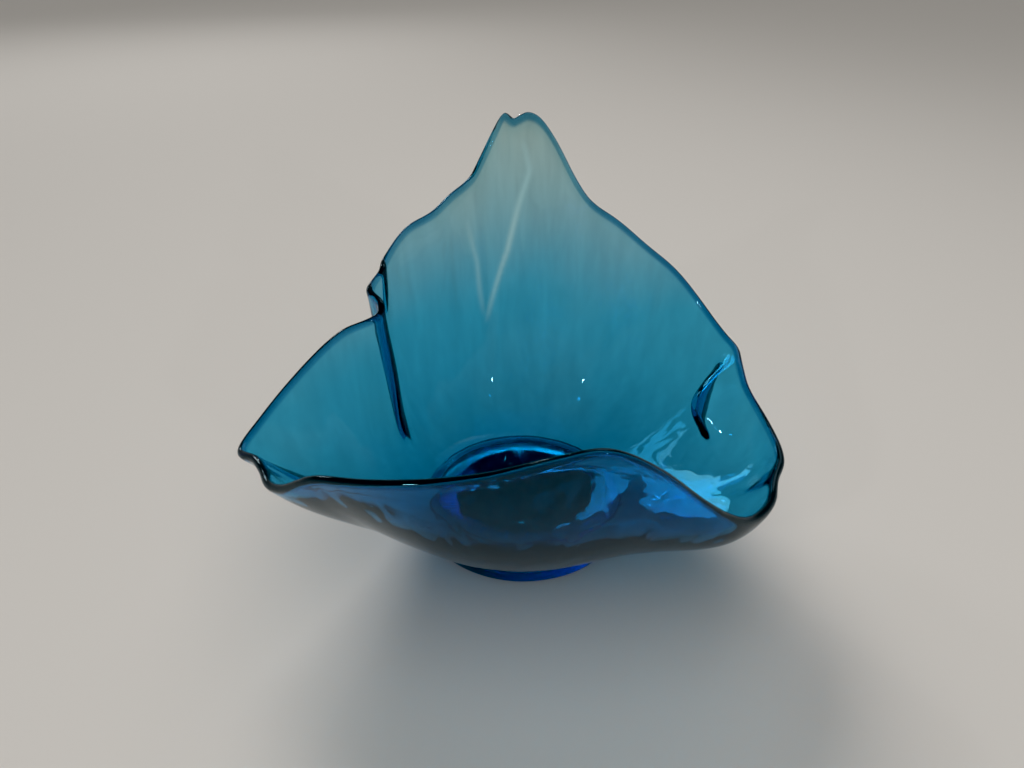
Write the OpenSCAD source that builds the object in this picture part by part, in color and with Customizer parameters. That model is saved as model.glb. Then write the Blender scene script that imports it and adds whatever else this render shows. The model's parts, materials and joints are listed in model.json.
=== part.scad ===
// Free-form art glass bowl: a blown body, stretched into a tall peak and two
// spouts while hot, standing on a separately gathered disc foot.
// Z = 0 is the table and the Z axis is the axis of the foot. The low front lip
// faces -Y, the peak stands at +Y, and azimuths run anticlockwise from +X.

/* [Foot] */
// Diameter of the disc foot
foot_d = 88; // [73:1:108]
// Thickness of the disc foot
foot_t = 5; // [3:0.5:9]
// Radius of the rounding round the top edge of the foot
foot_round = 1.8; // [0.5:0.1:2]
// Bevel where the ground underside meets the edge of the foot
foot_bevel = 0.6; // [0.2:0.1:0.8]

/* [Floor] */
// Width of the ledge left bare round the seat, where the body is fused to the foot
foot_ledge = 5; // [3:0.5:9]
// Thickness of the glass in the middle of the floor
floor_t = 6; // [4:0.5:7]

/* [Wall] */
// How far outside the edge of the seat the middle of the wall leaves the floor
base_flare = 5; // [3:0.5:8]
// Thickness of the wall where it leaves the floor
base_wall = 6.5; // [5:0.25:8]
// Thickness that the wall thins down to as it is stretched upwards
top_wall = 2; // [1.6:0.1:3]
// Height over which most of that thinning happens
thin_run = 38; // [25:1:60]
// Thickness of the bead that the fire leaves round the rim
rim_bead = 3.4; // [2.6:0.1:4]
// Slope of the wall where it leaves the floor, in degrees
rise = 33; // [28:1:38]
// Length over which the wall keeps that slope before it curves upwards
rise_run = 28; // [20:1:34]

/* [Peak] */
// Height of the peak at the back
peak_h = 149; // [120:1:180]
// Reach of the peak from the axis of the foot
peak_reach = 79; // [66:1:95]
// Depth of the cleft in the top of the peak
cleft = 2.5; // [0:0.5:5]
// Height of the two shoulders where the back narrows into the peak
shoulder_h = 112; // [95:1:120]
// Reach of the two shoulders
shoulder_reach = 71; // [62:1:86]

/* [Spouts] */
// Height of the left spout
left_h = 57; // [48:1:70]
// Reach of the left spout
left_reach = 109; // [92:1:130]
// Height of the right spout
right_h = 48; // [40:1:60]
// Reach of the right spout
right_reach = 101; // [88:1:120]

/* [Front] */
// Height of the hump in the front lip
hump_h = 92; // [78:1:105]
// Reach of the front lip
front_reach = 82; // [72:1:92]
// Height of the lip where it dips to the left of the hump
lip_h = 78; // [66:1:90]

/* [Pleats] */
// How far the left pleat pinches the rim inwards
left_pleat = 10; // [2:0.5:12]
// How far the right pleat dents the wall below the rim
right_pleat = 16; // [0:0.5:18]
// How far the right spout bellies out in front of that pleat
right_belly = 7; // [0:0.5:9]

/* [Hidden] */
$fn = 96;
glass_teal = [0.03, 0.47, 0.60];
glass_navy = [0.03, 0.20, 0.42];

rim_steps = 3;      // mesh steps from one rim station to the next
wall_rings = 14;    // mesh rings up the wall, below the one at the foot of the rim bead
bead_share = 0.965; // share of the wall's height at which the rim bead starts to swell
bead_turns = [45, 90, 135]; // angles of the mesh rings round the bead, from its inner side
floor_shares = [0.35, 0.65, 0.85]; // mesh rings across the inner floor, as shares of its radius
lean_run = 0.34;    // share of its own length that the wall spends at its lean
neck_r = 66;        // reach of the rim beside the left pleat
pleat_h = 88;       // height of the rim there

// The body sits on a flat seat inside the foot's ledge. From the edge of the seat the
// outer surface climbs at the slope of the wall, half a wall outside its middle.
seat_r = foot_d / 2 - foot_ledge;
base_r = seat_r + base_flare;
base_x = base_wall / 2 * sin(rise);
base_z = foot_t + (base_flare + base_x) * tan(rise) + base_wall / 2 * cos(rise);
floor_z = foot_t + floor_t;

function mix(a, b, share) = a + (b - a) * share;

// Rim stations in order of azimuth: azimuth, reach, height, lean of the wall there.
// A lean of 90 is upright, and less leans outwards.
RIM = [
    // right spout, from its front corner to its back edge
    [-52, mix(front_reach, right_reach, 0.50), mix(hump_h, right_h, 0.58), 86],
    [-41, right_reach - 3, right_h + 3, 78],
    [-31, right_reach, right_h, 68],
    [-23, right_reach - 1.5, right_h, 58],
    [-16, right_reach, right_h + 1, 50],
    [-6, right_reach - 4.5, right_h + 4, 55],
    [4, right_reach - 9.5, right_h + 9.5, 60],
    [12, right_reach - 8, right_h + 14, 62],
    [17, right_reach - 5.5, right_h + 16, 62],
    [22, right_reach - 6.5, right_h + 18.5, 65],
    // right edge of the back, rising to the shoulder
    [28, mix(right_reach, shoulder_reach, 0.28), mix(right_h, shoulder_h, 0.38), 68],
    [40, mix(right_reach, shoulder_reach, 0.40), mix(right_h, shoulder_h, 0.60), 75],
    [49, mix(right_reach, shoulder_reach, 0.58), mix(right_h, shoulder_h, 0.75), 80],
    [58, mix(peak_reach, shoulder_reach, -0.1), shoulder_h - 6.5, 84],
    [67, mix(peak_reach, shoulder_reach, 0.2), shoulder_h + 1, 88],
    // peak, with its two lobes either side of the cleft
    [73, mix(peak_reach, shoulder_reach, 0.2), mix(shoulder_h, peak_h, 0.30), 90],
    [79, peak_reach - 0.5, mix(shoulder_h, peak_h, 0.67), 90],
    [84, peak_reach, mix(shoulder_h, peak_h, 0.92), 90],
    [88, peak_reach, peak_h, 90],
    [91, peak_reach - 1, peak_h - cleft / 2, 90],
    [93, peak_reach - 1, peak_h - cleft, 90],
    [95.5, peak_reach + 1.5, peak_h - 0.5, 88],
    [98, peak_reach + 0.5, mix(shoulder_h, peak_h, 0.86), 90],
    [103, mix(peak_reach, shoulder_reach, 0.4), mix(shoulder_h, peak_h, 0.56), 90],
    [108, mix(peak_reach, shoulder_reach, 0.9), mix(shoulder_h, peak_h, 0.34), 90],
    // left shoulder, down to the pleat
    [116, shoulder_reach - 1, shoulder_h + 7, 90],
    [124, shoulder_reach - 2, shoulder_h + 1, 88],
    [134, shoulder_reach, shoulder_h - 3.5, 85],
    [144, shoulder_reach + 0.5, mix(shoulder_h, pleat_h, 0.56), 82],
    [148.5, shoulder_reach - 3, pleat_h + 9.5, 83],
    [152.5, shoulder_reach - 1, pleat_h + 4.5, 82],
    [156.5, neck_r + 2, pleat_h + 3.5, 85],
    [160, neck_r + 5 - left_pleat, pleat_h + 2, 88],
    [164, neck_r + 3.5 - left_pleat, pleat_h - 1, 88],
    [168, neck_r - 2.5, pleat_h - 3, 82],
    [174, neck_r + 6, pleat_h - 5, 78],
    // left spout, with a small notch between its two corners
    [184, mix(neck_r, left_reach, 0.49), mix(pleat_h, left_h, 0.51), 65],
    [192, left_reach - 7.5, left_h + 4, 52],
    [198, left_reach, left_h, 45],
    [203, left_reach - 4.5, left_h + 2.5, 52],
    [208, left_reach - 6, left_h + 3, 58],
    [213, left_reach - 5.5, left_h + 3.5, 56],
    [218, left_reach - 8, mix(left_h, lip_h, 0.33), 58],
    [225, mix(left_reach, front_reach, 0.47), mix(left_h, lip_h, 0.75), 66],
    // front lip and its hump
    [233, mix(left_reach, front_reach, 0.66), lip_h - 2.5, 73],
    [247, front_reach + 3, lip_h + 1.5, 80],
    [262, front_reach - 0.5, mix(lip_h, hump_h, 0.46), 85],
    [276, front_reach - 0.5, hump_h - 1.5, 88],
    [287, front_reach + 1, hump_h + 0.5, 90],
    [299, front_reach + 4.5, mix(hump_h, right_h, 0.25), 90]
];

// Dents in the wall: azimuth, half width in degrees, depth (less than 0 for a belly), the share
// of the wall's height where it is deepest, and how far its azimuth drifts from floor to rim
DENTS = [
    [7, 7, right_pleat, 0.84, 40],
    [-12, 9, -right_belly, 0.70, 0],
    [163, 7, left_pleat * 0.4, 0.55, 0],
    [148.5, 4, -left_pleat * 0.3, 0.70, 0]
];

// Station k of the closed rim, its azimuth carried past the full turn
function station(k) =
    let (n = len(RIM), turn = floor(k / n), s = RIM[k - turn * n])
    [s[0] + 360 * turn, s[1], s[2], s[3]];

// Smooth cubic through four neighbouring stations, at a share t of the middle span
function slope(a, b, i) = (b[i] - a[i]) / (b[0] - a[0]);
function cubic(p, q, m0, m1, span, t) =
    p * (2 * pow(t, 3) - 3 * t * t + 1) + m0 * span * (pow(t, 3) - 2 * t * t + t)
    + q * (3 * t * t - 2 * pow(t, 3)) + m1 * span * (pow(t, 3) - t * t);
function rim_at(k, t) =
    let (a = station(k - 1), b = station(k), c = station(k + 1), d = station(k + 2))
    [
        mix(b[0], c[0], t),
        for (i = [1:3]) cubic(b[i], c[i], slope(a, c, i), slope(b, d, i), c[0] - b[0], t)
    ];

// Depth of all the dents together: each fades to nothing at the floor, at the rim and sideways
function turn_between(a, b) = (a - b + 540) % 360 - 180;
function dent_depth(d, azimuth, v) =
    let (off = turn_between(azimuth, d[0] + d[4] * (v - d[3])) / d[1])
    d[2] * exp(-off * off) * pow(sin(180 * pow(v, ln(0.5) / ln(d[3]))), 2);
function sum(list) = list * [for (x = list) 1];
function dents_at(azimuth, v) = sum([for (d = DENTS) dent_depth(d, azimuth, v)]);

// Middle of the wall on one meridian, at a share v of the way from floor to rim
function bezier(p, v) =
    pow(1 - v, 3) * p[0] + 3 * v * pow(1 - v, 2) * p[1] + 3 * v * v * (1 - v) * p[2] + pow(v, 3) * p[3];
function wall_mid(s, v) =
    let (
        foot = [base_r, base_z],
        rim = [s[1], s[2]],
        lean = lean_run * norm(rim - foot) * [cos(s[3]), sin(s[3])],
        p = bezier([foot, foot + rise_run * [cos(rise), sin(rise)], rim - lean, rim], v),
        r = p[0] - dents_at(s[0], v)
    )
    [r * cos(s[0]), r * sin(s[0]), p[1]];

// The grid of points through the middle of the wall, and the half wall either side of it
up_shares = [for (j = [0:wall_rings]) bead_share * j / wall_rings, 1];
top = len(up_shares) - 1;
meridians = [for (k = [0:len(RIM) - 1], j = [0:rim_steps - 1]) rim_at(k, j / rim_steps)];
n_around = len(meridians);
mid = [for (s = meridians) [for (v = up_shares) wall_mid(s, v)]];

function unit(a) = a / norm(a);
function around(i) = mid[(i + n_around) % n_around];
function up_wall(i, j) = around(i)[min(j + 1, top)] - around(i)[max(j - 1, 0)];
function outward(i, j) = unit(cross(around(i + 1)[j] - around(i - 1)[j], up_wall(i, j)));
function wall_t(z) = mix(top_wall, base_wall, exp(-(z - base_z) / thin_run));
function half_wall(i, j) = outward(i, j) * (j == top ? rim_bead : wall_t(mid[i][j][2])) / 2;

// One meridian of the skin, from the inner floor over the rim to the edge of the seat
floor_share = tan(rise) * (base_r - base_x);
function floor_point(edge, share) =
    let (n = floor_share / (edge[2] - floor_z))
    [edge[0] * share, edge[1] * share, mix(floor_z, edge[2], pow(share, n))];
function skin(i) =
    let (
        inner = [for (j = [0:top]) mid[i][j] - half_wall(i, j)],
        outer = [for (j = [top:-1:0]) mid[i][j] + half_wall(i, j)],
        tip = unit(up_wall(i, top)),
        out = outward(i, top)
    )
    concat(
        [for (share = floor_shares) floor_point(inner[0], share)],
        inner,
        [for (a = bead_turns) mid[i][top] + rim_bead / 2 * (sin(a) * tip - cos(a) * out)],
        outer,
        [[seat_r * cos(meridians[i][0]), seat_r * sin(meridians[i][0]), foot_t]]
    );

// The body is one closed skin: a disc of triangles at the floor, bands of
// triangle pairs over the rim, and a disc of triangles under the seat
module bowl_body() {
    skins = [for (i = [0:n_around - 1]) skin(i)];
    n_rings = len(skins[0]);
    points = concat([[0, 0, floor_z], [0, 0, foot_t]], [for (s = skins) each s]);
    function id(i, j) = 2 + (i % n_around) * n_rings + j;
    faces = [
        for (i = [0:n_around - 1]) each concat(
            [[0, id(i + 1, 0), id(i, 0)]],
            [for (j = [0:n_rings - 2]) each [
                [id(i, j), id(i + 1, j), id(i + 1, j + 1)],
                [id(i, j), id(i + 1, j + 1), id(i, j + 1)]
            ]],
            [[1, id(i, n_rings - 1), id(i + 1, n_rings - 1)]]
        )
    ];
    color(glass_teal, 0.6) polyhedron(points, faces, convexity = 8);
}

// Disc foot, with a rounded top edge and a flat, ground underside
module disc_foot() {
    r = foot_d / 2;
    color(glass_navy, 0.7) rotate_extrude() {
        polygon([
            [0, 0],
            [r - foot_bevel, 0],
            [r, foot_bevel],
            [r, foot_t - foot_round],
            [r - foot_round, foot_t - foot_round],
            [r - foot_round, foot_t],
            [0, foot_t]
        ]);
        translate([r - foot_round, foot_t - foot_round]) circle(r = foot_round);
    }
}

bowl_body();
disc_foot();
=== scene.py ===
import bpy
import json
import math
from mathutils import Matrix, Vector

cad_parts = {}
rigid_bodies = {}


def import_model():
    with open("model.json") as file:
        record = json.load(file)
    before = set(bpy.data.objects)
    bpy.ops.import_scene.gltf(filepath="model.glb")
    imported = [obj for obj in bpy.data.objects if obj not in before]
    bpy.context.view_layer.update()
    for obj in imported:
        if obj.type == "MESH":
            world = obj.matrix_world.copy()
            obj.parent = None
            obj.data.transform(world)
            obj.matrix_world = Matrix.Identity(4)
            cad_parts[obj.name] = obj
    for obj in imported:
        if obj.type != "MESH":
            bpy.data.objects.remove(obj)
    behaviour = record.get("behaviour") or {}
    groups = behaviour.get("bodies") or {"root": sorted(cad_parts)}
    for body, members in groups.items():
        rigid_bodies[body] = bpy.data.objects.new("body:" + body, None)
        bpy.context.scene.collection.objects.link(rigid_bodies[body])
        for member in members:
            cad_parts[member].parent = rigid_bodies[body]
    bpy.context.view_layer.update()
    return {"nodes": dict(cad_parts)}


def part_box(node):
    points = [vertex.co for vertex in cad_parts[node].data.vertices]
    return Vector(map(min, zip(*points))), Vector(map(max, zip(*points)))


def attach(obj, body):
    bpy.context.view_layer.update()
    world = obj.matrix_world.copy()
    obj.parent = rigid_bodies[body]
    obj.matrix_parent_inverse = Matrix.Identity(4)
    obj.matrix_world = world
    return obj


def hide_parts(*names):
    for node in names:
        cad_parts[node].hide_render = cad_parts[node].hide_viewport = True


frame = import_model()
print("frame loaded:", sorted(frame["nodes"]))


def pickOnly(piece):
    bpy.ops.object.select_all(action="DESELECT")
    piece.select_set(True)
    bpy.context.view_layer.objects.active = piece


def applyModifier(piece, kind, **settings):
    pickOnly(piece)
    modifier = piece.modifiers.new(kind.title(), kind)
    for name, value in settings.items():
        setattr(modifier, name, value)
    bpy.ops.object.modifier_apply(modifier=modifier.name)


# metres, degrees where an angle is meant
body = {
    "mergeWithin": 0.000001,
    "beadRings": 2,          # rings of the skin either side of the rim's top that make its bead
    "smoothing": 2,
    "waveSize": 0.03,        # spacing of the soft waves that hand working leaves
    "waveDepth": 0.00035,
    "creaseDepth": 0.0002,   # how far a crease stands proud of the inner skin
    "creaseWidth": 0.0013,
    # the creases inside the peak, as azimuth and height from the top down, and how strong each is
    "creases": [
        ([(90, 0.140), (87.5, 0.126), (91, 0.112), (95, 0.090), (101, 0.070), (104.5, 0.058)], 0.8),
        ([(110.5, 0.108), (107, 0.087), (106.5, 0.073), (105.5, 0.062)], 0.4),
    ],
}


def azimuthOf(point):
    return math.atan2(point.y, point.x)


def turnFrom(start, end):
    return (azimuthOf(end) - azimuthOf(start) + math.pi) % (2 * math.pi) - math.pi


def ringsFromFloor(mesh):
    # walks outwards from the middle of the inner floor, ring by ring, over the rim and under
    neighbours = [[] for vertex in mesh.vertices]
    for edge in mesh.edges:
        first, second = edge.vertices
        neighbours[first].append(second)
        neighbours[second].append(first)
    axisPoints = [v for v in mesh.vertices if math.hypot(v.co.x, v.co.y) < body["mergeWithin"]]
    start = max(axisPoints, key=lambda vertex: vertex.co.z).index
    ring = {start: 0}
    front = [start]
    while front:
        following = []
        for index in front:
            for other in neighbours[index]:
                if other not in ring:
                    ring[other] = ring[index] + 1
                    following.append(other)
        front = following
    return ring, neighbours


def markRim(mesh, ring, lastRing):
    # 1 on the bead round the rim, 0 elsewhere, where the material paints shade on the rim
    heights = [[] for level in range(lastRing + 1)]
    for vertex in mesh.vertices:
        heights[ring[vertex.index]].append(vertex.co.z)
    means = [sum(found) / len(found) for found in heights]
    rimRing = means.index(max(means))
    band = mesh.attributes.new("rimBand", "FLOAT", "POINT")
    for vertex in mesh.vertices:
        band.data[vertex.index].value = abs(ring[vertex.index] - rimRing) <= body["beadRings"]


def mergeIntoSquares(piece):
    pickOnly(piece)
    bpy.ops.object.mode_set(mode="EDIT")
    bpy.ops.mesh.select_all(action="SELECT")
    bpy.ops.mesh.remove_doubles(threshold=body["mergeWithin"])
    bpy.ops.mesh.select_mode(type="EDGE")
    bpy.ops.mesh.select_all(action="DESELECT")
    bpy.ops.object.mode_set(mode="OBJECT")
    # each square of the skin is two triangles, so the edge across it is dissolved
    mesh = piece.data
    ring, neighbours = ringsFromFloor(mesh)
    across = set()
    lastRing = max(ring.values())
    markRim(mesh, ring, lastRing)
    for vertex in mesh.vertices:
        level = ring[vertex.index]
        if 0 < level < lastRing - 1:
            upward = [n for n in neighbours[vertex.index] if ring[n] == level + 1]
            far = max(upward, key=lambda n: turnFrom(vertex.co, mesh.vertices[n].co))
            across.add(frozenset((vertex.index, far)))
    for edge in mesh.edges:
        edge.select = frozenset(edge.vertices) in across
    bpy.ops.object.mode_set(mode="EDIT")
    bpy.ops.mesh.dissolve_edges(use_verts=False)
    bpy.ops.object.mode_set(mode="OBJECT")
    print("body:", len(mesh.polygons), "faces in", lastRing + 1, "rings")


def creaseWeight(point, path):
    # 1 on the line of a crease, fading to 0 beside it and at both ends
    if point.y < 0:
        return 0
    for (startTurn, startHeight), (endTurn, endHeight) in zip(path, path[1:]):
        if endHeight <= point.z <= startHeight:
            share = (point.z - endHeight) / (startHeight - endHeight)
            middle = math.radians(endTurn + (startTurn - endTurn) * share)
            aside = (azimuthOf(point) - middle) * math.hypot(point.x, point.y)
            along = (point.z - path[-1][1]) / (path[0][1] - path[-1][1])
            return math.exp(-(aside / body["creaseWidth"]) ** 2) * math.sin(math.pi * along) ** 0.5
    return 0


def pressCreases(piece):
    weights = [
        max(strength * creaseWeight(vertex.co, path) for path, strength in body["creases"])
        for vertex in piece.data.vertices
    ]
    group = piece.vertex_groups.new(name="crease")
    for vertex in piece.data.vertices:
        if vertex.normal.y < 0:  # the inner skin only
            group.add([vertex.index], weights[vertex.index], "REPLACE")
    applyModifier(
        piece, "DISPLACE", vertex_group="crease", strength=body["creaseDepth"], mid_level=0
    )
    piece.vertex_groups.clear()
    # the same weights go to the material, which paints a pale highlight line along each crease
    line = piece.data.attributes.new("creaseLine", "FLOAT", "POINT")
    line.data.foreach_set("value", weights)


def makeBody():
    source = frame["nodes"]["bowl_body"]
    piece = source.copy()
    piece.data = source.data.copy()
    piece.name = "glassBody"
    bpy.context.scene.collection.objects.link(piece)
    mergeIntoSquares(piece)
    applyModifier(piece, "SUBSURF", levels=body["smoothing"], render_levels=body["smoothing"])
    waves = bpy.data.textures.new("handWorkedWaves", "CLOUDS")
    waves.noise_scale = body["waveSize"]
    applyModifier(piece, "DISPLACE", texture=waves, strength=body["waveDepth"], mid_level=0.5)
    pressCreases(piece)
    pickOnly(piece)
    bpy.ops.object.shade_smooth()
    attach(piece, "root")
    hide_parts("bowl_body")
    print("body made:", len(piece.data.polygons), "faces")
    return piece


foot = {
    "sides": 192,
    "edgeRound": 0.0018,     # rounding round the top edge
    "baseRound": 0.0006,     # rounding round the ground underside
    "ledge": 0.005,          # width left bare outside the seat of the body
    "sink": 0.0002,          # how far the fused top reaches up into the body
    "baseRings": (0.3, 0.6, 0.9),  # rings across the underside, as shares of its radius
    "topRing": 0.6,          # the ring inside the seat, as a share of the seat
    "tuck": 0.0006,          # how far inside the edge of the seat it is fully sunk
    # the fillet of glass round the seat: distance outside the seat, and height above the top
    "fillet": [(0.0018, 0), (0.0009, 0.0001), (0.0004, 0.0003)],
    "edgeSteps": 10,
    "baseSteps": 5,
    "sharpAngle": 40,        # edges sharper than this stay crisp
}


def seatRadius():
    low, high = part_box("disc_foot")
    return (high.x - low.x) / 2 - foot["ledge"]


def turnedSolid(name, profile, sides):
    # a closed turned piece, from the middle of its underside out and up to the middle of its top
    bpy.ops.object.select_all(action="DESELECT")
    firstRadius, firstHeight = profile[0]
    bpy.ops.mesh.primitive_circle_add(
        vertices=sides, radius=firstRadius, fill_type="TRIFAN", location=(0, 0, firstHeight)
    )
    piece = bpy.context.object
    piece.name = name
    bpy.ops.object.mode_set(mode="EDIT")
    bpy.ops.mesh.select_all(action="DESELECT")
    bpy.ops.mesh.select_non_manifold()
    radius, height = firstRadius, firstHeight
    for nextRadius, nextHeight in profile[1:]:
        climb = (0, 0, nextHeight - height)
        bpy.ops.mesh.extrude_region_move(TRANSFORM_OT_translate={"value": climb})
        scale = nextRadius / radius
        bpy.ops.transform.resize(value=(scale, scale, 1), center_override=(0, 0, nextHeight))
        radius, height = nextRadius, nextHeight
    bpy.ops.mesh.edge_face_add()
    bpy.ops.mesh.poke()
    bpy.ops.mesh.select_all(action="SELECT")
    bpy.ops.mesh.normals_make_consistent(inside=False)
    bpy.ops.object.mode_set(mode="OBJECT")
    bpy.ops.object.transform_apply(location=True, rotation=True, scale=True)
    return piece


def arc(centre, radius, start, end, steps):
    angles = [math.radians(start + (end - start) * k / steps) for k in range(steps + 1)]
    return [(centre[0] + radius * math.cos(a), centre[1] + radius * math.sin(a)) for a in angles]


def makeFoot():
    seat = seatRadius()
    outer = seat + foot["ledge"]
    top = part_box("disc_foot")[1].z
    profile = [(outer * share, 0) for share in foot["baseRings"]]
    low, high = foot["baseRound"], foot["edgeRound"]
    profile += arc((outer - low, low), low, -90, 0, foot["baseSteps"])
    profile += arc((outer - high, top - high), high, 0, 90, foot["edgeSteps"])
    profile += [(seat + outside, top + above) for outside, above in foot["fillet"]]
    profile += [(seat - foot["tuck"], top + foot["sink"]), (seat * foot["topRing"], top + foot["sink"])]
    piece = turnedSolid("glassFoot", profile, foot["sides"])
    pickOnly(piece)
    bpy.ops.object.shade_smooth_by_angle(angle=math.radians(foot["sharpAngle"]))
    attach(piece, "root")
    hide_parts("disc_foot")
    print("foot made:", len(piece.data.polygons), "faces")
    return piece


def groupSocket(group, name, kind, direction):
    return group.interface.new_socket(name=name, in_out=direction, socket_type="NodeSocket" + kind)


def addNode(tree, kind, **inputs):
    node = tree.nodes.new("ShaderNode" + kind)
    for name, value in inputs.items():
        node.inputs[name.replace("_", " ")].default_value = value
    return node


def mixColour(tree, blend, factor):
    node = tree.nodes.new("ShaderNodeMix")
    node.data_type = "RGBA"
    node.blend_type = blend
    tree.links.new(factor, node.inputs["Factor"])
    return node


# how the hot working shows in the glass, with the range of the painted shade on the rim: the settings
# of each texture, and what part of it shows
worked = {
    "drift": {"Scale": 18.0, "Detail": 2.0, "Roughness": 0.5},
    "driftBy": 0.16,         # how far the colour wanders from its height
    "drawnOut": 0.14,        # share of the scale that is left upwards, for what the pull drew out
    "streaks": {"Scale": 150.0, "Detail": 3.0, "Roughness": 0.55, "Distortion": 0.4},
    "streakRange": (0.3, 0.7),  # from where it is darkest to where it is clear
    "beadRange": (0.45, 0.95),  # of the rim's mask, from no painted shade to the full painted shade
    "marks": {"Scale": 55.0, "Detail": 5.0, "Roughness": 0.65},
    "markRange": (0.52, 0.75),
    "rub": {"Scale": 420.0, "Detail": 4.0, "Roughness": 0.7},
    "waves": {"Scale": 85.0, "Detail": 1.0, "Roughness": 0.4, "Distortion": 0.6},
    "seeds": {"Scale": 110.0},
    "seedSize": 0.07,        # of the distance between seeds
    "seedHeight": 0.35,      # of the height of a wave
}


def makeGlassGroup():
    # hot-worked glass: colour thinned by the stretch, drawn-out streaks, soft waves, seeds and wear,
    # with painted shade on the rim's bead and a painted highlight line along the creases
    group = bpy.data.node_groups.new("handWorkedGlass", "ShaderNodeTree")
    for name, kind in (
        ("Deep Colour", "Color"), ("Pale Colour", "Color"), ("Low", "Float"), ("High", "Float"),
        ("Streaks", "Float"), ("Waviness", "Float"), ("Polish", "Float"), ("Wear", "Float"),
        ("Wear Height", "Float"), ("Rim", "Float"), ("Rim Shade", "Color"), ("Crease", "Float"),
        ("Crease Highlight", "Color"),
    ):
        groupSocket(group, name, kind, "INPUT")
    for name, kind in (("Colour", "Color"), ("Roughness", "Float"), ("Height", "Float")):
        groupSocket(group, name, kind, "OUTPUT")
    links = group.links
    given = group.nodes.new("NodeGroupInput")
    result = group.nodes.new("NodeGroupOutput")
    where = group.nodes.new("ShaderNodeTexCoord")
    axes = group.nodes.new("ShaderNodeSeparateXYZ")
    links.new(where.outputs["Object"], axes.inputs["Vector"])

    # the colour runs from deep at the base to pale where the glass is stretched thin
    climb = addNode(group, "MapRange")
    climb.interpolation_type = "SMOOTHSTEP"
    links.new(axes.outputs["Z"], climb.inputs["Value"])
    links.new(given.outputs["Low"], climb.inputs["From Min"])
    links.new(given.outputs["High"], climb.inputs["From Max"])
    drift = addNode(group, "TexNoise", **worked["drift"])
    links.new(where.outputs["Object"], drift.inputs["Vector"])
    wander = addNode(group, "MapRange", To_Min=-worked["driftBy"], To_Max=worked["driftBy"])
    links.new(drift.outputs["Fac"], wander.inputs["Value"])
    share = group.nodes.new("ShaderNodeMath")
    share.operation = "ADD"
    share.use_clamp = True
    links.new(climb.outputs["Result"], share.inputs[0])
    links.new(wander.outputs["Result"], share.inputs[1])
    colour = mixColour(group, "MIX", share.outputs["Value"])
    links.new(given.outputs["Deep Colour"], colour.inputs["A"])
    links.new(given.outputs["Pale Colour"], colour.inputs["B"])

    # streaks drawn out upwards as the wall was pulled
    drawn = group.nodes.new("ShaderNodeMapping")
    drawn.inputs["Scale"].default_value = (1, 1, worked["drawnOut"])
    links.new(where.outputs["Object"], drawn.inputs["Vector"])
    streaks = addNode(group, "TexNoise", **worked["streaks"])
    links.new(drawn.outputs["Vector"], streaks.inputs["Vector"])
    darkest, clear = worked["streakRange"]
    shade = addNode(group, "MapRange", From_Min=darkest, From_Max=clear, To_Min=-1.0, To_Max=0.0)
    links.new(streaks.outputs["Fac"], shade.inputs["Value"])
    depth = group.nodes.new("ShaderNodeMath")
    depth.operation = "MULTIPLY_ADD"
    depth.inputs[2].default_value = 1.0
    links.new(shade.outputs["Result"], depth.inputs[0])
    links.new(given.outputs["Streaks"], depth.inputs[1])
    tinted = group.nodes.new("ShaderNodeVectorMath")
    tinted.operation = "SCALE"
    links.new(colour.outputs["Result"], tinted.inputs[0])
    links.new(depth.outputs["Value"], tinted.inputs["Scale"])

    # the bead round the rim is darkened, painted shade for the dark band that the rim shows, and a
    # crease gets a pale colour, a painted highlight line along it
    beadStart, beadFull = worked["beadRange"]
    bead = addNode(group, "MapRange", From_Min=beadStart, From_Max=beadFull)
    bead.interpolation_type = "SMOOTHSTEP"
    links.new(given.outputs["Rim"], bead.inputs["Value"])
    # painted shade: the rim's colour is multiplied in over the bead to darken it
    rimmed = mixColour(group, "MULTIPLY", bead.outputs["Result"])
    links.new(tinted.outputs["Vector"], rimmed.inputs["A"])
    links.new(given.outputs["Rim Shade"], rimmed.inputs["B"])
    # painted highlight: a pale colour mixed in along each crease
    creased = mixColour(group, "MIX", given.outputs["Crease"])
    links.new(rimmed.outputs["Result"], creased.inputs["A"])
    links.new(given.outputs["Crease Highlight"], creased.inputs["B"])
    links.new(creased.outputs["Result"], result.inputs["Colour"])

    # fire polish with faint handling marks, and the ground ring that the foot stands on
    marks = addNode(group, "TexNoise", **worked["marks"])
    links.new(where.outputs["Object"], marks.inputs["Vector"])
    markStart, markFull = worked["markRange"]
    smear = addNode(group, "MapRange", From_Min=markStart, From_Max=markFull)
    links.new(marks.outputs["Fac"], smear.inputs["Value"])
    gloss = group.nodes.new("ShaderNodeMath")
    gloss.operation = "MULTIPLY"
    links.new(smear.outputs["Result"], gloss.inputs[0])
    links.new(given.outputs["Polish"], gloss.inputs[1])
    worn = addNode(group, "MapRange", From_Min=0.0, To_Min=1.0, To_Max=0.0)
    links.new(axes.outputs["Z"], worn.inputs["Value"])
    links.new(given.outputs["Wear Height"], worn.inputs["From Max"])
    rub = addNode(group, "TexNoise", **worked["rub"])
    links.new(where.outputs["Object"], rub.inputs["Vector"])
    scuffed = group.nodes.new("ShaderNodeMath")
    scuffed.operation = "MULTIPLY"
    links.new(worn.outputs["Result"], scuffed.inputs[0])
    links.new(rub.outputs["Fac"], scuffed.inputs[1])
    rough = group.nodes.new("ShaderNodeMath")
    rough.operation = "MULTIPLY_ADD"
    links.new(scuffed.outputs["Value"], rough.inputs[0])
    links.new(given.outputs["Wear"], rough.inputs[1])
    links.new(gloss.outputs["Value"], rough.inputs[2])
    links.new(rough.outputs["Value"], result.inputs["Roughness"])

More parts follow.
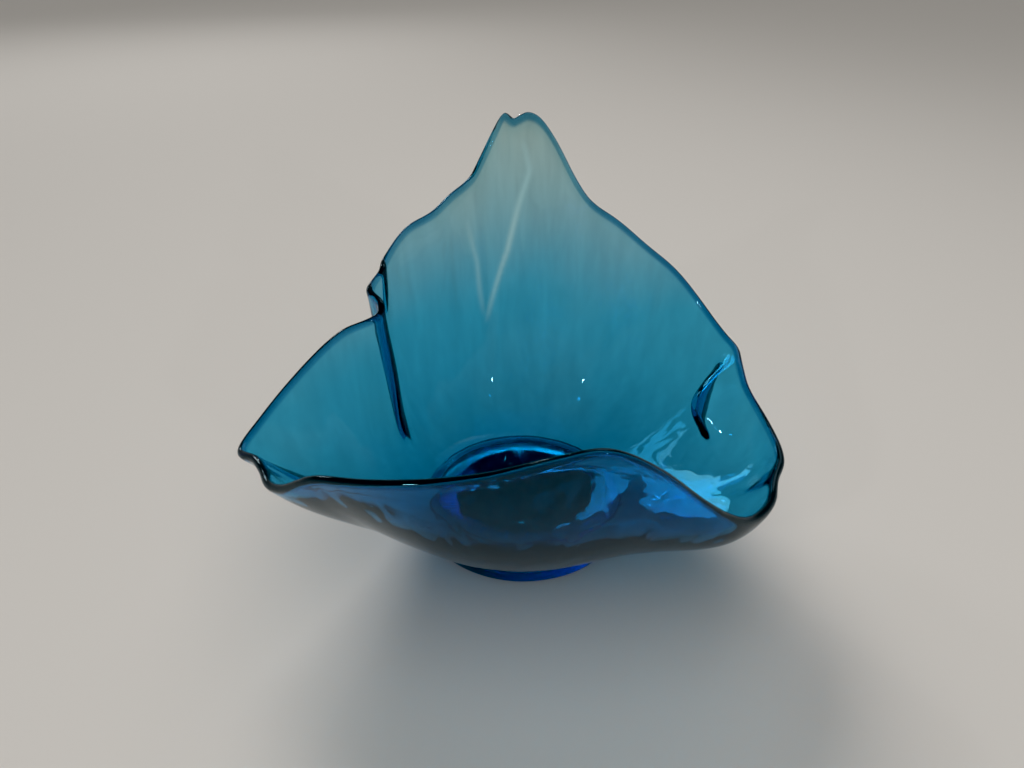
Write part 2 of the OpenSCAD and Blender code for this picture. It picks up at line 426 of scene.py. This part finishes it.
    # the height of the fine waves and of the few seeds caught in the glass
    waves = addNode(group, "TexNoise", **worked["waves"])
    links.new(drawn.outputs["Vector"], waves.inputs["Vector"])
    seeds = addNode(group, "TexVoronoi", **worked["seeds"])
    links.new(where.outputs["Object"], seeds.inputs["Vector"])
    bubble = addNode(group, "MapRange", From_Min=0.0, From_Max=worked["seedSize"])
    bubble.inputs["To Min"].default_value = worked["seedHeight"]
    bubble.inputs["To Max"].default_value = 0.0
    bubble.interpolation_type = "SMOOTHSTEP"
    links.new(seeds.outputs["Distance"], bubble.inputs["Value"])
    relief = group.nodes.new("ShaderNodeMath")
    relief.operation = "MULTIPLY_ADD"
    links.new(waves.outputs["Fac"], relief.inputs[0])
    links.new(given.outputs["Waviness"], relief.inputs[1])
    links.new(bubble.outputs["Result"], relief.inputs[2])
    links.new(relief.outputs["Value"], result.inputs["Height"])
    return group


# absorption is per metre of glass: density times one less the colour
bodyGlass = {
    "deep": (0.12, 0.58, 0.82, 1), "pale": (0.90, 0.86, 0.80, 1), "low": 0.060, "high": 0.150,
    "streaks": 0.16, "waviness": 1.0, "polish": 0.035, "wear": 0.0, "wearHeight": 0.0001,
    "absorbed": (0.0, 0.74, 0.88, 1), "density": 270, "relief": 0.0003, "glint": (0.3, 0.75, 1, 1),
    # the crease's colour on the next line is a painted highlight, a pale line along the creases
    # the rim's colour on the next line is painted shade that darkens the bead
    "rimTint": (0.16, 0.42, 0.60, 1), "creaseColour": (0.95, 1, 1, 1),
}
footGlass = {
    "deep": (0.18, 0.76, 1.0, 1), "pale": (0.45, 0.90, 1.0, 1), "low": 0.0, "high": 0.005,
    "streaks": 0.10, "waviness": 0.6, "polish": 0.03, "wear": 0.9, "wearHeight": 0.0005,
    "absorbed": (0.0, 0.74, 0.90, 1), "density": 65, "relief": 0.0002, "glint": (0.3, 0.75, 1, 1),
    "rimTint": (1, 1, 1, 1), "creaseColour": (1, 1, 1, 1),
}


def makeGlass(name, group, look, ior, attributes):
    material = bpy.data.materials.new(name)
    material.use_nodes = True
    nodes, links = material.node_tree.nodes, material.node_tree.links
    shader = nodes["Principled BSDF"]
    shader.inputs["Transmission Weight"].default_value = 1
    shader.inputs["IOR"].default_value = ior
    shader.inputs["Specular Tint"].default_value = look["glint"]
    glass = nodes.new("ShaderNodeGroup")
    glass.node_tree = group
    for socket, value in (
        ("Deep Colour", "deep"), ("Pale Colour", "pale"), ("Low", "low"), ("High", "high"),
        ("Streaks", "streaks"), ("Waviness", "waviness"), ("Polish", "polish"), ("Wear", "wear"),
        ("Wear Height", "wearHeight"), ("Rim Shade", "rimTint"), ("Crease Highlight", "creaseColour"),
    ):
        glass.inputs[socket].default_value = look[value]
    for socket, name in (("Rim", "rimBand"), ("Crease", "creaseLine")):
        if name in attributes:
            mask = nodes.new("ShaderNodeAttribute")
            mask.attribute_name = name
            links.new(mask.outputs["Fac"], glass.inputs[socket])
    bump = nodes.new("ShaderNodeBump")
    bump.inputs["Strength"].default_value = 1
    bump.inputs["Distance"].default_value = look["relief"]
    links.new(glass.outputs["Colour"], shader.inputs["Base Color"])
    links.new(glass.outputs["Roughness"], shader.inputs["Roughness"])
    links.new(glass.outputs["Height"], bump.inputs["Height"])
    links.new(bump.outputs["Normal"], shader.inputs["Normal"])
    absorb = nodes.new("ShaderNodeVolumeAbsorption")
    absorb.inputs["Color"].default_value = look["absorbed"]
    absorb.inputs["Density"].default_value = look["density"]
    links.new(absorb.outputs["Volume"], nodes["Material Output"].inputs["Volume"])
    return material


# the two gathers are fused, so light crosses from one to the other without bending
weld = {
    "glassIor": 1.5,
    "weldIor": 1.0,
    "reach": 0.0004,         # how far from the joint's height a face may lie
    "inside": 0.0005,        # how far inside the edge of the seat it lies
    "flat": 0.98,            # least upright part of its normal
}


def onWeld(face, joint, edge):
    radius = math.hypot(face.center.x, face.center.y)
    flat = abs(face.normal.z) > weld["flat"]
    level = abs(face.center.z - joint) < weld["reach"]
    return flat and level and radius < edge


glassGroup = makeGlassGroup()
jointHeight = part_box("disc_foot")[1].z
jointEdge = seatRadius() - weld["inside"]
for piece, look in ((makeBody(), bodyGlass), (makeFoot(), footGlass)):
    piece.data.materials.clear()
    for ending, ior in (("Material", weld["glassIor"]), ("Weld", weld["weldIor"])):
        material = makeGlass(piece.name + ending, glassGroup, look, ior, piece.data.attributes.keys())
        piece.data.materials.append(material)
    for face in piece.data.polygons:
        face.material_index = 1 if onWeld(face, jointHeight, jointEdge) else 0
    print(piece.name, "weld faces:", sum(face.material_index for face in piece.data.polygons))


stage = {
    "size": 12,
    "gap": 0.0003,           # the foot stands this far clear of the floor
    "colour": (0.74, 0.71, 0.67, 1),
    "roughness": 0.9,
    "shine": 0.2,
}


def makeStage():
    bpy.ops.object.select_all(action="DESELECT")
    bpy.ops.mesh.primitive_plane_add(size=stage["size"], location=(0, 0, -stage["gap"]))
    floor = bpy.context.object
    floor.name = "floor"
    material = bpy.data.materials.new("paleFloor")
    material.use_nodes = True
    shader = material.node_tree.nodes["Principled BSDF"]
    shader.inputs["Base Color"].default_value = stage["colour"]
    shader.inputs["Roughness"].default_value = stage["roughness"]
    shader.inputs["Specular IOR Level"].default_value = stage["shine"]
    floor.data.materials.append(material)


# soft sun from behind and a wide panel above, which leave no direct reflection, and smaller
# lamps that do
sun = {"from": (-0.25, 0.78, 0.56), "spread": 26, "strength": 1.65, "colour": (1, 0.97, 0.93)}
panels = [
    {"name": "ceilingPanel", "place": (0.05, -0.25, 0.8), "size": 0.9, "power": 2.3, "glint": False},
    {"name": "windowPane", "place": (-0.9, 1.07, 0.81), "size": 0.3, "power": 1.8},
    {"name": "backPanel", "place": (0.22, 0.5, 0.8), "size": 0.5, "power": 0.7},
    {"name": "frontLeftLamp", "place": (-0.91, -1.01, 0.68), "size": 0.06, "power": 0.9},
    {"name": "frontRightLamp", "place": (0.7, -1.22, 0.55), "size": 0.06, "power": 0.9},
    {"name": "backLamp", "place": (-0.4, 1.31, 0.65), "size": 0.06, "power": 0.9},
]
lightAim = (0, 0, 0.05)
# the room is pale along the horizon and dims upwards
room = {"colour": (0.97, 0.97, 0.96, 1), "horizon": 0.45, "above": 0.06, "dimBy": 0.45}


def addLight(data, place):
    lamp = bpy.data.objects.new(data.name, data)
    lamp.location = place
    aim = Vector(lightAim) - lamp.location
    lamp.rotation_euler = aim.to_track_quat("-Z", "Y").to_euler()
    lamp.visible_camera = False
    bpy.context.scene.collection.objects.link(lamp)
    return lamp


def makeLights():
    data = bpy.data.lights.new("windowSun", "SUN")
    data.angle = math.radians(sun["spread"])
    data.energy = sun["strength"]
    data.color = sun["colour"]
    addLight(data, sun["from"]).visible_glossy = False
    for spec in panels:
        data = bpy.data.lights.new(spec["name"], "AREA")
        data.shape = "SQUARE"
        data.size = spec["size"]
        data.energy = spec["power"]
        lamp = addLight(data, spec["place"])
        lamp.visible_glossy = spec.get("glint", True)
    world = bpy.data.worlds.new("paleRoom")
    world.use_nodes = True
    background = world.node_tree.nodes["Background"]
    background.inputs["Color"].default_value = room["colour"]
    tree = world.node_tree
    outlook = tree.nodes.new("ShaderNodeTexCoord")
    axes = tree.nodes.new("ShaderNodeSeparateXYZ")
    dimming = addNode(
        tree, "MapRange", From_Max=room["dimBy"], To_Min=room["horizon"], To_Max=room["above"]
    )
    tree.links.new(outlook.outputs["Generated"], axes.inputs["Vector"])
    tree.links.new(axes.outputs["Z"], dimming.inputs["Value"])
    tree.links.new(dimming.outputs["Result"], background.inputs["Strength"])
    bpy.context.scene.world = world


camera = {
    "place": (-0.0045, -0.256, 0.231),
    "lookDown": 33,
    "lens": 27.03,
    "sensor": 36,
    "nearest": 0.01,
    "furthest": 50,
}


def makeCamera():
    data = bpy.data.cameras.new("camera")
    data.lens = camera["lens"]
    data.sensor_width = camera["sensor"]
    data.clip_start = camera["nearest"]
    data.clip_end = camera["furthest"]
    holder = bpy.data.objects.new("camera", data)
    holder.location = camera["place"]
    holder.rotation_euler = (math.radians(90 - camera["lookDown"]), 0, 0)
    bpy.context.scene.collection.objects.link(holder)
    bpy.context.scene.camera = holder


makeStage()
makeLights()
makeCamera()
blackLevel = (0.005, 0.002, 0.001)  # deepens the darks, red the most
view = bpy.context.scene.view_settings
view.view_transform = "Standard"
view.use_curve_mapping = True
view.curve_mapping.black_level = blackLevel
print("stage set")
